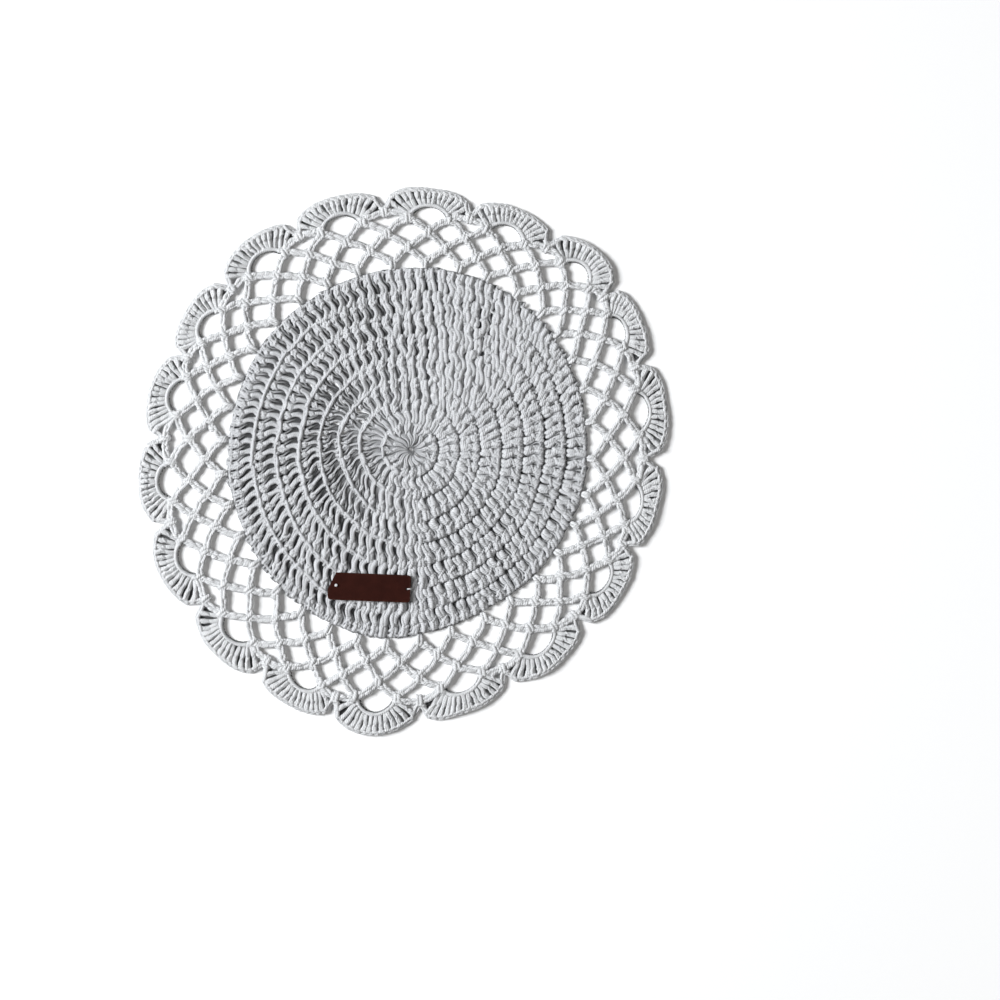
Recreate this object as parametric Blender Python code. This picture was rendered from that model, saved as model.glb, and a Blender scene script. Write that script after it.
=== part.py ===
# Crocheted round doily with a sewn-on leather label, in metres, +Z up.
# The doily lies flat. Its origin is the centre of the rounds, on the underside.
# From the centre outward: a dense disc of post rounds, a net of chain loops in a diamond
# lattice, and a border of fans. It is drawn as a plan of outlines and ridge lines first.
# The plan is triangulated, laid down once as the flat underside and once as the raised top.

import math

import bmesh
import bpy
from mathutils import Matrix, Vector
from mathutils.geometry import delaunay_2d_cdt

# Dense disc: rounds of posts, each closed by a raised chain ridge.
ROUND_COUNT = 8
FIRST_ROUND_RADIUS = 0.0165
ROUND_HEIGHT = 0.0146
RIDGE_HALF_WIDTH = 0.0023
POST_TOP = 0.0029
RIDGE_TOP = 0.0040
EYE_RADIUS = 0.0030
EYE_TOP = 0.0024

# Net: rounds of chain loops. Each loop's top carries a knot of the round above.
LOOP_COUNT = 36
KNOT_REACHES = (0.1243, 0.1352, 0.1462, 0.1565)
CHAIN_HALF_WIDTH = 0.00135
CHAIN_EDGE_TOP = 0.0020
CHAIN_RIDGE_TOP = 0.0033
KNOT_TOP = 0.0037
# Openings between four chains. Each row: the reach that closes it outside, the distance it
# keeps from the middle lines of its chains, and half the width of its blunt corners.
OPENINGS = {
    "first": {
        "outer_reach": KNOT_REACHES[2],
        "margin": CHAIN_HALF_WIDTH,
        "inner": 0.0008,
        "side": 0.0014,
        "outer": 0.0022,
    },
    "second": {
        "outer_reach": KNOT_REACHES[3],
        "margin": CHAIN_HALF_WIDTH,
        "inner": 0.0008,
        "side": 0.0014,
        "outer": 0.0024,
    },
    "under_fan": {
        "outer_reach": 0.1640,
        "margin": 0.0015,
        "inner": 0.0014,
        "side": 0.0012,
        "outer": 0.0062,
    },
    "under_notch": {
        "outer_reach": 0.1622,
        "margin": 0.0036,
        "inner": 0.0009,
        "side": 0.0010,
        "outer": 0.0014,
    },
}
# The low openings along the disc's edge, in heights above their foot.
EDGE_ARCH_REACH = 0.1229
EDGE_ARCH_HALF_WIDTH = 0.0080
EDGE_ARCH_HEIGHT = 0.0086
EDGE_ARCH_SHOULDER = 0.0048
EDGE_ARCH_TOP = 0.0012

# Fans: ribs spread from an arch around the opening below them out to a raised rim.
FAN_COUNT = 18
FAN_RIB_COUNT = 8
FAN_REACH = 0.1770
NOTCH_REACH = 0.1632
NOTCH_KNOT_REACH = 0.1606
FAN_ROUNDNESS = 2.3
RIM_INSET = 0.0024
ARCH_REACH = 0.1545
ARCH_HALF_WIDTH = 0.0125
ARCH_HEIGHT = 0.0098
ARCH_SPREAD = math.radians(80.0)
RIB_TOP = 0.0037
GROOVE_TOP = 0.0024
RIM_TOP = 0.0034
FAN_EDGE_TOP = 0.0022

# Hand-made unevenness. The whole is narrower across X and longer along Y.
WIDTH_SCALE = 0.97
LENGTH_SCALE = 1.03
EVEN_DISC_REACH = 0.1188
FIRST_FAN_ANGLE = 4.6
EVEN_FROM_REACH = 0.060
UNEVEN_FROM_REACH = 0.150
# One row for each fan: clockwise angle from +Y, reach of the disc's last ridge, reach of the fan.
FANS = [
    {"angle": 4.6, "disc": 0.1155, "tip": 0.168},
    {"angle": 25.0, "disc": 0.1172, "tip": 0.170},
    {"angle": 45.0, "disc": 0.119, "tip": 0.180},
    {"angle": 61.0, "disc": 0.119, "tip": 0.178},
    {"angle": 81.0, "disc": 0.118, "tip": 0.176},
    {"angle": 103.0, "disc": 0.117, "tip": 0.172},
    {"angle": 123.0, "disc": 0.115, "tip": 0.170},
    {"angle": 145.0, "disc": 0.113, "tip": 0.169},
    {"angle": 167.0, "disc": 0.114, "tip": 0.172},
    {"angle": 188.8, "disc": 0.120, "tip": 0.184},
    {"angle": 206.5, "disc": 0.123, "tip": 0.184},
    {"angle": 225.8, "disc": 0.124, "tip": 0.187},
    {"angle": 245.4, "disc": 0.124, "tip": 0.189},
    {"angle": 263.0, "disc": 0.124, "tip": 0.187},
    {"angle": 282.3, "disc": 0.122, "tip": 0.182},
    {"angle": 300.0, "disc": 0.121, "tip": 0.178},
    {"angle": 320.4, "disc": 0.118, "tip": 0.175},
    {"angle": 341.5, "disc": 0.1152, "tip": 0.170},
]

# Label: a leather strip with one clipped end and a small hole near each end.
LABEL_LENGTH = 0.0544
LABEL_WIDTH = 0.0181
LABEL_THICKNESS = 0.0015
LABEL_LIFT = RIDGE_TOP + 0.0003
LABEL_MIDDLE = (-0.0280, -0.0905)
LABEL_TURN = math.radians(-2.3)
LABEL_CORNER_RADIUS = 0.0022
LABEL_CLIP_LENGTH = 0.0050
LABEL_CLIP_WIDTH = 0.0112
LABEL_EDGE_ROUNDING = 0.0003
LABEL_HOLE_RADIUS = 0.0009
LABEL_HOLES = ((-0.0218, 0.0006), (0.0248, 0.0))


def smooth_step(value, low, high):
    share = min(max((value - low) / (high - low), 0.0), 1.0)
    return share * share * (3.0 - 2.0 * share)


def between_fans(turn, column):
    # A smooth closed curve through one column of the table. A turn counts fans, 0 to 18.
    step = math.floor(turn)
    share = turn - step
    before, here, after, beyond = (FANS[(step + shift) % FAN_COUNT][column] for shift in (-1, 0, 1, 2))
    if column == "angle":
        before, here, after, beyond = (
            value + 360.0 * ((step + shift) // FAN_COUNT)
            for value, shift in zip((before, here, after, beyond), (-1, 0, 1, 2))
        )
    slope_here = (after - before) / 2.0
    slope_after = (beyond - here) / 2.0
    rise = after - here
    return (
        here
        + slope_here * share
        + (3.0 * rise - 2.0 * slope_here - slope_after) * share**2
        + (slope_here + slope_after - 2.0 * rise) * share**3
    )


def place(reach, turn, sideways=0.0):
    # A point of the even plan, moved to where the uneven doily has it. Sideways is in metres.
    turn += sideways / reach * FAN_COUNT / (2.0 * math.pi)
    even_angle = FIRST_FAN_ANGLE + turn * 360.0 / FAN_COUNT
    drift = smooth_step(reach, EVEN_FROM_REACH, UNEVEN_FROM_REACH)
    angle = math.radians(even_angle + drift * (between_fans(turn, "angle") - even_angle))
    disc = between_fans(turn, "disc")
    if reach < EVEN_DISC_REACH:
        radius = reach * (1.0 + (disc / EVEN_DISC_REACH - 1.0) * reach / EVEN_DISC_REACH)
    else:
        border = (between_fans(turn, "tip") - disc) / (FAN_REACH - EVEN_DISC_REACH)
        radius = disc + (reach - EVEN_DISC_REACH) * border
    return Vector((WIDTH_SCALE * radius * math.sin(angle), LENGTH_SCALE * radius * math.cos(angle)))


class Plan:
    # Points with their heights, and the lines that join them.

    def __init__(self):
        self.points = []
        self.tops = []
        self.lines = []
        self.outlines = []

    def add(self, point, top):
        self.points.append(Vector(point))
        self.tops.append(top)
        return len(self.points) - 1

    def ridge(self, points, tops, closed=False):
        ids = [self.add(point, top) for point, top in zip(points, tops)]
        self.lines += list(zip(ids, ids[1:] + ids[:1])) if closed else list(zip(ids, ids[1:]))
        return ids

    def join(self, first, last, middle_top):
        middle = self.add((self.points[first] + self.points[last]) / 2.0, middle_top)
        self.lines += [(first, middle), (middle, last)]

    def outline(self, points, top):
        # Counterclockwise, seen from above.
        self.outlines.append([self.add(point, top) for point in points])


def add_disc(plan):
    circles = [(EYE_RADIUS, FAN_COUNT, EYE_TOP)]
    for number in range(ROUND_COUNT):
        crest = FIRST_ROUND_RADIUS + number * ROUND_HEIGHT
        columns = LOOP_COUNT * (1 if number < ROUND_COUNT / 2 else 2)
        circles += [
            (crest - RIDGE_HALF_WIDTH, columns, POST_TOP),
            (crest, columns, RIDGE_TOP),
            (crest + RIDGE_HALF_WIDTH, columns, POST_TOP),
        ]
    for radius, columns, top in circles:
        turns = [FAN_COUNT * column / columns for column in range(columns)]
        plan.ridge([place(radius, turn) for turn in turns], [top] * columns, closed=True)


def add_opening(plan, turn, level, row):
    # The cell between a knot below, a knot on each side and the outer reach, less the margin.
    size = OPENINGS[row]
    low, middle = KNOT_REACHES[level], KNOT_REACHES[level + 1]
    wide = middle * math.pi / LOOP_COUNT
    slope_in = (middle - low) / wide
    slope_out = (size["outer_reach"] - middle) / wide
    bottom = low + size["margin"] * math.hypot(1.0, slope_in)
    top = size["outer_reach"] - size["margin"] * math.hypot(1.0, slope_out)
    half_width = (top - bottom - 2.0 * size["side"]) / (slope_in + slope_out)
    corners = [
        (size["inner"], bottom + slope_in * size["inner"]),
        (half_width, bottom + slope_in * half_width),
        (half_width, top - slope_out * half_width),
        (size["outer"], top - slope_out * size["outer"]),
    ]
    corners += [(-side, reach) for side, reach in corners[::-1]]
    plan.outline([place(reach, turn, side) for side, reach in corners], CHAIN_EDGE_TOP)


def add_edge_arch(plan, turn):
    # The low opening between the disc's edge and one loop of the first net round.
    corners = [
        (-EDGE_ARCH_HALF_WIDTH, 0.0),
        (0.0, 0.0),
        (EDGE_ARCH_HALF_WIDTH, 0.0),
        (EDGE_ARCH_SHOULDER, EDGE_ARCH_HEIGHT / 2.0),
        (EDGE_ARCH_TOP, EDGE_ARCH_HEIGHT),
        (-EDGE_ARCH_TOP, EDGE_ARCH_HEIGHT),
        (-EDGE_ARCH_SHOULDER, EDGE_ARCH_HEIGHT / 2.0),
    ]
    plan.outline([place(EDGE_ARCH_REACH + up, turn, side) for side, up in corners], CHAIN_EDGE_TOP)


def add_net(plan):
    fans_per_loop = FAN_COUNT / LOOP_COUNT
    knots = {}
    for level, reach in enumerate(KNOT_REACHES):
        for loop in range(LOOP_COUNT):
            turn = (loop + 0.5 * (level % 2)) * fans_per_loop
            knots[level, loop] = plan.add(place(reach, turn), KNOT_TOP)
    top_level = len(KNOT_REACHES) - 1
    for level in range(top_level):
        for loop in range(LOOP_COUNT):
            first_above = loop - 1 + level % 2
            for above in (first_above, first_above + 1):
                lower, upper = knots[level, loop], knots[level + 1, above % LOOP_COUNT]
                plan.join(lower, upper, CHAIN_RIDGE_TOP)
    for loop in range(1, LOOP_COUNT, 2):
        notch = plan.add(place(NOTCH_KNOT_REACH, loop * fans_per_loop), KNOT_TOP)
        for side in (loop - 1, loop):
            plan.join(knots[top_level, side], notch, CHAIN_RIDGE_TOP)
    for loop in range(LOOP_COUNT):
        add_edge_arch(plan, (loop + 0.5) * fans_per_loop)
        add_opening(plan, loop * fans_per_loop, 0, "first")
        add_opening(plan, (loop + 0.5) * fans_per_loop, 1, "second")
        add_opening(plan, loop * fans_per_loop, 2, "under_notch" if loop % 2 else "under_fan")


def fan_edge(fan, across):
    # Outline of a fan. Across runs from -1 to 1, notch to notch.
    bow = (1.0 - abs(across) ** FAN_ROUNDNESS) ** (1.0 / FAN_ROUNDNESS)
    return place(NOTCH_REACH + (FAN_REACH - NOTCH_REACH) * bow, fan + across / 2.0)


def add_fan(plan, fan):
    # Ribs and grooves by turns. Returns the outline from the first notch, without the last.
    line_count = 2 * FAN_RIB_COUNT + 1
    edge = [fan_edge(fan, -1.0)]
    low_ids, high_ids = [], []
    for number in range(1, line_count - 1):
        across = 2.0 * number / (line_count - 1) - 1.0
        lean = across * ARCH_SPREAD
        low = place(ARCH_REACH + ARCH_HEIGHT * math.cos(lean), fan, ARCH_HALF_WIDTH * math.sin(lean))
        outer = fan_edge(fan, across)
        edge.append(outer)
        high = outer + (low - outer).normalized() * RIM_INSET
        middle_top = RIB_TOP if number % 2 else GROOVE_TOP
        ids = plan.ridge([low, (low + high) / 2.0, high], (RIM_TOP, middle_top, RIM_TOP))
        low_ids.append(ids[0])
        high_ids.append(ids[-1])
    plan.lines += list(zip(low_ids, low_ids[1:])) + list(zip(high_ids, high_ids[1:]))
    return edge


def laid_flat(plan, lines, sheet, is_top):
    # Triangles inside the last outline and outside all the others. Returns each point's corner.
    borders = plan.outlines[-1:] + plan.outlines[:-1]
    used = sorted({point for line in lines for point in line})
    order = {point: index for index, point in enumerate(used)}
    inside_only, tolerance = 1, 1e-6
    spots, _, faces, origins, _, face_borders = delaunay_2d_cdt(
        [plan.points[point] for point in used],
        [(order[first], order[last]) for first, last in lines],
        [[order[point] for point in border] for border in borders],
        inside_only,
        tolerance,
    )
    corners = {}
    for index, (spot, origin) in enumerate(zip(spots, origins)):
        top = plan.tops[used[origin[0]]] if is_top else 0.0
        corners[index] = sheet.verts.new((spot.x, spot.y, top))
    for face, inside in zip(faces, face_borders):
        if list(inside) == [0]:
            points = [corners[index] for index in face]
            sheet.faces.new(points if is_top else points[::-1])
    return {used[origin[0]]: corners[index] for index, origin in enumerate(origins)}


def raised_sheet(plan, name):
    # All lines make the raised top, the outlines alone the flat underside.
    sheet = bmesh.new()
    rims = [pair for ids in plan.outlines for pair in zip(ids, ids[1:] + ids[:1])]
    top = laid_flat(plan, plan.lines + rims, sheet, True)
    bottom = laid_flat(plan, rims, sheet, False)
    for first, last in rims:
        sheet.faces.new((top[first], top[last], bottom[last], bottom[first]))
    bmesh.ops.recalc_face_normals(sheet, faces=sheet.faces[:])
    mesh = bpy.data.meshes.new(name)
    sheet.to_mesh(mesh)
    sheet.free()
    return mesh


def finish(thing, name, colour, roughness):
    material = bpy.data.materials.new(name)
    material.use_nodes = True
    shader = material.node_tree.nodes["Principled BSDF"]
    shader.inputs["Base Color"].default_value = (*colour, 1.0)
    shader.inputs["Roughness"].default_value = roughness
    shader.inputs["Metallic"].default_value = 0.0
    thing.data.materials.append(material)


def add_object(name, mesh):
    thing = bpy.data.objects.new(name, mesh)
    bpy.context.scene.collection.objects.link(thing)
    return thing


def make_doily():
    plan = Plan()
    add_disc(plan)
    add_net(plan)
    edge = [point for fan in range(FAN_COUNT) for point in add_fan(plan, fan)]
    plan.outline(edge[::-1], FAN_EDGE_TOP)
    doily = add_object("doily", raised_sheet(plan, "doily"))
    finish(doily, "cotton", (0.78, 0.77, 0.76), 0.9)


def label_outline():
    # Clockwise from the clipped corner, top left. The round corners are arcs.
    half_length, half_width = LABEL_LENGTH / 2.0, LABEL_WIDTH / 2.0
    points = [
        Vector((-half_length, half_width - LABEL_CLIP_WIDTH)),
        Vector((-half_length + LABEL_CLIP_LENGTH, half_width)),
    ]
    arc_steps = 4
    for side, up, start in ((1, 1, 90.0), (1, -1, 0.0), (-1, -1, -90.0)):
        middle = Vector((side * half_length, up * half_width))
        middle -= LABEL_CORNER_RADIUS * Vector((side, up))
        for step in range(arc_steps + 1):
            angle = math.radians(start - 90.0 * step / arc_steps)
            points.append(middle + LABEL_CORNER_RADIUS * Vector((math.cos(angle), math.sin(angle))))
    return points


def make_label():
    shape = bmesh.new()
    corners = [shape.verts.new((*point, 0.0)) for point in label_outline()]
    extruded = bmesh.ops.extrude_face_region(shape, geom=[shape.faces.new(corners)])
    lifted = [item for item in extruded["geom"] if isinstance(item, bmesh.types.BMVert)]
    bmesh.ops.translate(shape, verts=lifted, vec=(0.0, 0.0, LABEL_THICKNESS))
    bmesh.ops.recalc_face_normals(shape, faces=shape.faces[:])
    mesh = bpy.data.meshes.new("label")
    shape.to_mesh(mesh)
    shape.free()
    label = add_object("label", mesh)
    label.location = (*LABEL_MIDDLE, LABEL_LIFT)
    label.rotation_euler.z = LABEL_TURN
    finish(label, "leather", (0.030, 0.010, 0.008), 0.55)
    rounding = label.modifiers.new("rounded edge", "BEVEL")
    rounding.width = LABEL_EDGE_ROUNDING
    rounding.segments = 2
    rounding.limit_method = "ANGLE"
    rounding.angle_limit = math.radians(60.0)
    for number, spot in enumerate(LABEL_HOLES, 1):
        punch_hole(label, f"punch {number}", spot)


def punch_hole(label, name, spot):
    shape = bmesh.new()
    bmesh.ops.create_cone(
        shape,
        cap_ends=True,
        segments=16,
        radius1=LABEL_HOLE_RADIUS,
        radius2=LABEL_HOLE_RADIUS,
        depth=LABEL_THICKNESS * 4.0,
        matrix=Matrix.Translation((*spot, LABEL_THICKNESS / 2.0)),
    )
    mesh = bpy.data.meshes.new(name)
    shape.to_mesh(mesh)
    shape.free()
    cutter = add_object(name, mesh)
    cutter.parent = label
    cutter.hide_render = True
    cutter.display_type = "WIRE"
    hole = label.modifiers.new(name, "BOOLEAN")
    hole.operation = "DIFFERENCE"
    hole.solver = "EXACT"
    hole.object = cutter


def main():
    for thing in list(bpy.data.objects):
        bpy.data.objects.remove(thing, do_unlink=True)
    make_doily()
    make_label()


if __name__ == "__main__":
    main()
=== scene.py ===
import math
from types import SimpleNamespace

import bpy
import numpy as np
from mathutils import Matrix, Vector


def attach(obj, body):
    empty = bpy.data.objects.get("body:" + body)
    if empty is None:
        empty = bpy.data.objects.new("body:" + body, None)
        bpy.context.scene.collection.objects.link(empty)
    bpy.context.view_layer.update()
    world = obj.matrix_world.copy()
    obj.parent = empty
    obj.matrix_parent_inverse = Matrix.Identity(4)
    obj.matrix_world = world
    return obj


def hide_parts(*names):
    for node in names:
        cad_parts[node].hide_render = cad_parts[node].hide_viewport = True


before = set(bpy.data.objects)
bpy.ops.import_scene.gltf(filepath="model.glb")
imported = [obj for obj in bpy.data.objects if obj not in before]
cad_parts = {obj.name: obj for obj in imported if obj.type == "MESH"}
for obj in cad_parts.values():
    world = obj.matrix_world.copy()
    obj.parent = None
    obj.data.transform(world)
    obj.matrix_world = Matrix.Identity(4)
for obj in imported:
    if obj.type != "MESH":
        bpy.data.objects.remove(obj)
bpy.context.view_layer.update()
handWork = np.random.default_rng(7)  # every random draw comes from here
print("frame loaded")

# Plan of the doily in metres, the same as the solids have it. A turn counts fans, 0 to 18, clockwise.
plan = {
    "firstRound": 0.0165,  # reach of the first ridge
    "roundHeight": 0.0146,
    "eye": 0.0024,  # where the feet of the first posts stand
    "loops": 36,  # in each round of the net
    "fans": 18,
    "knots": (0.1243, 0.1352, 0.1462, 0.1565),  # reach of the net's rounds of knots
    "notchKnot": 0.1606,  # and of the knots between two fans
    "notch": 0.1632,  # reach of the edge between two fans
    "fanTip": 0.1770,
    "fanRoundness": 2.3,
    "archReach": 0.1545,  # the arch at the foot of a fan
    "archHalfWidth": 0.0125,
    "archHeight": 0.0098,
    "archSpread": math.radians(80),
    "wide": 0.97,  # the doily is a little longer than wide
    "long": 1.03,
    "evenDisc": 0.1188,  # the last ridge's reach, before the table below changes it
    "firstAngle": 4.6,
    "evenTo": 0.060,  # spaced evenly up to this reach
    "unevenFrom": 0.150,  # and by the table from this one
}
# One row for each fan: clockwise angle from +Y, reach of the disc's last ridge, reach of the fan, and
# how far the posts of the disc lean there, in degrees (above 0 when a post's head lies anticlockwise)
fanTable = np.array([
    (4.6, 0.1155, 0.168, 5), (25.0, 0.1172, 0.170, 24), (45.0, 0.119, 0.180, 34),
    (61.0, 0.119, 0.178, 18), (81.0, 0.118, 0.176, 3), (103.0, 0.117, 0.172, -12),
    (123.0, 0.115, 0.170, -22), (145.0, 0.113, 0.169, -8), (167.0, 0.114, 0.172, 8),
    (188.8, 0.120, 0.184, 8), (206.5, 0.123, 0.184, 20), (225.8, 0.124, 0.187, 28),
    (245.4, 0.124, 0.189, 22), (263.0, 0.124, 0.187, 12), (282.3, 0.122, 0.182, 4),
    (300.0, 0.121, 0.178, -8), (320.4, 0.118, 0.175, -14), (341.5, 0.1152, 0.170, -8),
])
angleColumn, discColumn, tipColumn, leanColumn = 0, 1, 2, 3


def smoothStep(value, low, high):
    share = np.clip((value - low) / (high - low), 0.0, 1.0)
    return share * share * (3.0 - 2.0 * share)


def betweenFans(turn, column):
    # a smooth closed curve through one column of the table
    step = np.floor(turn).astype(int)
    share = turn - step
    rows = [step + shift for shift in (-1, 0, 1, 2)]
    before, here, after, beyond = [fanTable[row % plan["fans"], column] for row in rows]
    if column == angleColumn:
        wholeTurns = [360.0 * (row // plan["fans"]) for row in rows]
        before, here, after, beyond = [a + b for a, b in zip((before, here, after, beyond), wholeTurns)]
    slopeHere, slopeAfter, rise = (after - before) / 2, (beyond - here) / 2, after - here
    bend = 3 * rise - 2 * slopeHere - slopeAfter
    return here + slopeHere * share + bend * share**2 + (slopeHere + slopeAfter - 2 * rise) * share**3


def place(reach, turn, sideways=0.0):
    # plan reach and turn to x and y; sideways is in metres, clockwise
    reach, turn = np.broadcast_arrays(np.asarray(reach, float), np.asarray(turn, float))
    turn = turn + sideways / reach * plan["fans"] / (2 * math.pi)
    evenAngle = plan["firstAngle"] + turn * 360.0 / plan["fans"]
    drift = smoothStep(reach, plan["evenTo"], plan["unevenFrom"])
    angle = np.radians(evenAngle + drift * (betweenFans(turn, angleColumn) - evenAngle))
    disc = betweenFans(turn, discColumn)
    inner = reach * (1 + (disc / plan["evenDisc"] - 1) * reach / plan["evenDisc"])
    border = (betweenFans(turn, tipColumn) - disc) / (plan["fanTip"] - plan["evenDisc"])
    outer = disc + (reach - plan["evenDisc"]) * border
    radius = np.where(reach < plan["evenDisc"], inner, outer)
    return np.stack((plan["wide"] * radius * np.sin(angle), plan["long"] * radius * np.cos(angle)), -1)


# Hand-made unevenness of the lying cloth: slow waves that shift every yarn a little. In metres.
unevenness = {
    "waves": 14,
    "shortest": 0.022,
    "longest": 0.075,
    "drift": 0.00045,  # sideways
    "swell": 0.00045,  # upward, in the net and the fans
    "swellMiddle": 1.2,  # of the swell, between a wave's crest and its trough
    "flatTo": 0.105,  # reach where the swell starts
    "liftedFrom": 0.150,
    "pulledSpot": (-0.030, 0.011),  # the inner rounds are pulled outward round this spot
    "pull": (-0.0043, 0.0016),
    "pullSpread": 0.019,
}


def slowWaves(count):
    lengths = handWork.uniform(unevenness["shortest"], unevenness["longest"], count)
    headings = handWork.uniform(0, 2 * math.pi, count)
    pulls = 2 * math.pi / lengths[:, None] * np.stack((np.cos(headings), np.sin(headings)), -1)
    return pulls, handWork.uniform(0, 2 * math.pi, count)


driftX, driftY, swell = [slowWaves(unevenness["waves"]) for _ in range(3)]


def wave(points, pulls, phases):
    total = sum(np.sin(points[..., :2] @ pull + phase) for pull, phase in zip(pulls, phases))
    return total / math.sqrt(len(phases))


def layByHand(points):
    # moves the points of all yarns alike, so that neighbours stay together
    out = points.copy()
    reach = np.hypot(points[..., 0], points[..., 1])
    out[..., 0] += unevenness["drift"] * wave(points, *driftX)
    out[..., 1] += unevenness["drift"] * wave(points, *driftY)
    away = points[..., :2] - unevenness["pulledSpot"]
    nearness = np.exp(-(away**2).sum(-1) / (2 * unevenness["pullSpread"] ** 2))
    out[..., :2] += nearness[..., None] * unevenness["pull"]
    lifted = smoothStep(reach, unevenness["flatTo"], unevenness["liftedFrom"])
    swelling = (unevenness["swellMiddle"] + wave(points, *swell)).clip(0, None)
    out[..., 2] += unevenness["swell"] * lifted * swelling
    return out


bitsPerCorner = 16  # a smooth path is measured in this many straight bits from corner to corner


def smoothPath(corners, steps):
    # evenly spaced points on a smooth curve through the corners
    corners = np.array(corners, float)
    ends = 2 * corners[0] - corners[1], 2 * corners[-1] - corners[-2]
    padded = np.vstack((ends[0], corners, ends[1]))
    share = np.linspace(0, 1, bitsPerCorner, endpoint=False)[:, None]
    runs = []
    for a, b, c, d in zip(padded, padded[1:], padded[2:], padded[3:]):
        cubic = 2 * a - 5 * b + 4 * c - d + share * (3 * (b - c) + d - a)
        runs.append(b + share / 2 * (c - a + share * cubic))
    fine = np.vstack((*runs, corners[-1:]))
    lengths = np.concatenate(([0], np.cumsum(np.linalg.norm(np.diff(fine, axis=0), axis=1))))
    wanted = np.linspace(0, lengths[-1], steps + 1)
    return np.stack([np.interp(wanted, lengths, column) for column in fine.T], -1)


# How stitches are laid. A stitch is drawn where its strands are pulled thin and close together.
stitchShape = {
    "flatness": 0.82,  # a yarn's height for its width
    "drawnNarrow": 0.55,  # a drawn stitch is this much narrower
    "drawnThin": 0.42,  # and its yarn this much thinner
    "footLiftRange": (0.04, 0.18),  # along the stitch, the lift of its foot ends between these
    "grooveRange": (0.08, 0.21),  # and so does the thin part that leaves a groove round a ridge
}
evenStitch = ((0, 1), (1, 1), (1, 1), (1, 1), (1, 1))  # as wide and as thick all along


def mirrored(corners):
    return [(-across, along, up) for across, along, up in corners]


def seatsFor(foot, head, **more):
    # where each stitch sits: its foot and head points, and how its yarn is squeezed at both. Sway is in
    # mm, lifts in metres, roll and twist in radians, and the rest are shares.
    seats = {"foot": np.asarray(foot, float), "head": np.asarray(head, float)}
    count = len(seats["foot"])
    usual = {
        "footCrowd": 1.0, "headCrowd": 1.0, "footYarn": 1.0, "headYarn": 1.0,
        "roll": 0.0, "twist": 0.0, "lift": 0.0, "footLift": 0.0, "sway": 0.0,
        "groove": 0.0, "openness": 0.0, "drawn": 0.0,
    }
    for name, value in {**usual, **more}.items():
        seats[name] = np.broadcast_to(np.asarray(value, float), (count,))
    return seats


def layStitch(stitch, seats):
    # lays one kind of stitch on every seat; its paths are (across, along, up) in millimetres
    yarns = []
    openness, drawn = seats["openness"][:, None], seats["drawn"][:, None]
    stops, fullCrowd, openCrowd, fullYarn, openYarn = stitch.get("waist", evenStitch)
    axis = seats["head"] - seats["foot"]
    unit = axis / np.linalg.norm(axis, axis=1)[:, None]
    across = np.stack((unit[:, 1], -unit[:, 0]), -1)
    for corners, steps, thickness in stitch["yarns"]:
        path = smoothPath(corners, steps)
        share = path[:, 1] / stitch["length"]
        held = np.clip(share, 0, 1)

        crowd = seats["footCrowd"][:, None] * (1 - held) + seats["headCrowd"][:, None] * held
        full, wide = np.interp(held, stops, fullCrowd), np.interp(held, stops, openCrowd)
        crowd = crowd * (full + (wide - full) * openness) * (1 - stitchShape["drawnNarrow"] * drawn)
        roll = seats["roll"][:, None] + seats["twist"][:, None] * (held - 0.5)
        turnCos, turnSin = np.cos(roll), np.sin(roll)
        side, up = path[:, 0], path[:, 2] - stitch["middle"]
        rolledSide = (side * turnCos - up * turnSin) * crowd
        rolledUp = side * turnSin + up * turnCos + stitch["middle"]
        spots = seats["foot"][:, None] + share[:, None] * axis[:, None]
        rolledSide = rolledSide + seats["sway"][:, None] * np.sin(2 * math.pi * held)
        spots = spots + across[:, None] * rolledSide[..., None] / 1000
        nearFoot = 1 - smoothStep(share, *stitchShape["footLiftRange"])
        height = rolledUp / 1000 + seats["lift"][:, None] + seats["footLift"][:, None] * nearFoot

        yarn = seats["footYarn"][:, None] * (1 - held) + seats["headYarn"][:, None] * held
        full, thin = np.interp(held, stops, fullYarn), np.interp(held, stops, openYarn)
        yarn = yarn * (full + (thin - full) * openness) * (1 - stitchShape["drawnThin"] * drawn)
        nearRidge = 1 - smoothStep(share, *stitchShape["grooveRange"])
        yarn = yarn * (1 - seats["groove"][:, None] * nearRidge)
        flatness = stitch.get("flatness", stitchShape["flatness"])
        yarns.append((np.concatenate((spots, height[..., None]), -1), thickness / 2000 * yarn, flatness))
    return yarns


def layFlat(paths, height, radius):
    # plain yarns at one height, in the form that layStitch gives
    spots = np.concatenate((paths, np.full((*paths.shape[:2], 1), height)), -1)
    return spots, np.full(paths.shape[:2], radius), stitchShape["flatness"]


yarnShape = {
    "sides": 6,
    "lumps": 0.085,  # how much the soft yarn swells and thins along its length
    "paintedShadeRange": (0.0012, 0.0026),  # painted shade: height below which yarn is painted darkest, and above which it isn't, m
    "paintedShadeFade": (0.010, 0.075),  # the close rounds in the middle get less of this painted shade
    "paintedShadeLeast": 0.3,
    "paintedShadeSides": (-0.75, -0.1),  # and the underside of a yarn shows none
    "pressed": 0.00015,  # where it touches the table the yarn is pressed flat this high up, m
    "cellGap": 0.06,  # free rim of a yarn's cell in the map, in cells
    "capShare": 0.16,  # the part of the cell for each end of the yarn
    "capMiddle": 0.45,  # in that part, the middle and the radius of the end
    "capRadius": 0.42,
}
bakeMapName = "OFBake"
ringAngles = np.arange(yarnShape["sides"]) / yarnShape["sides"] * 2 * math.pi
ringCos, ringSin = np.cos(ringAngles), np.sin(ringAngles)


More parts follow.
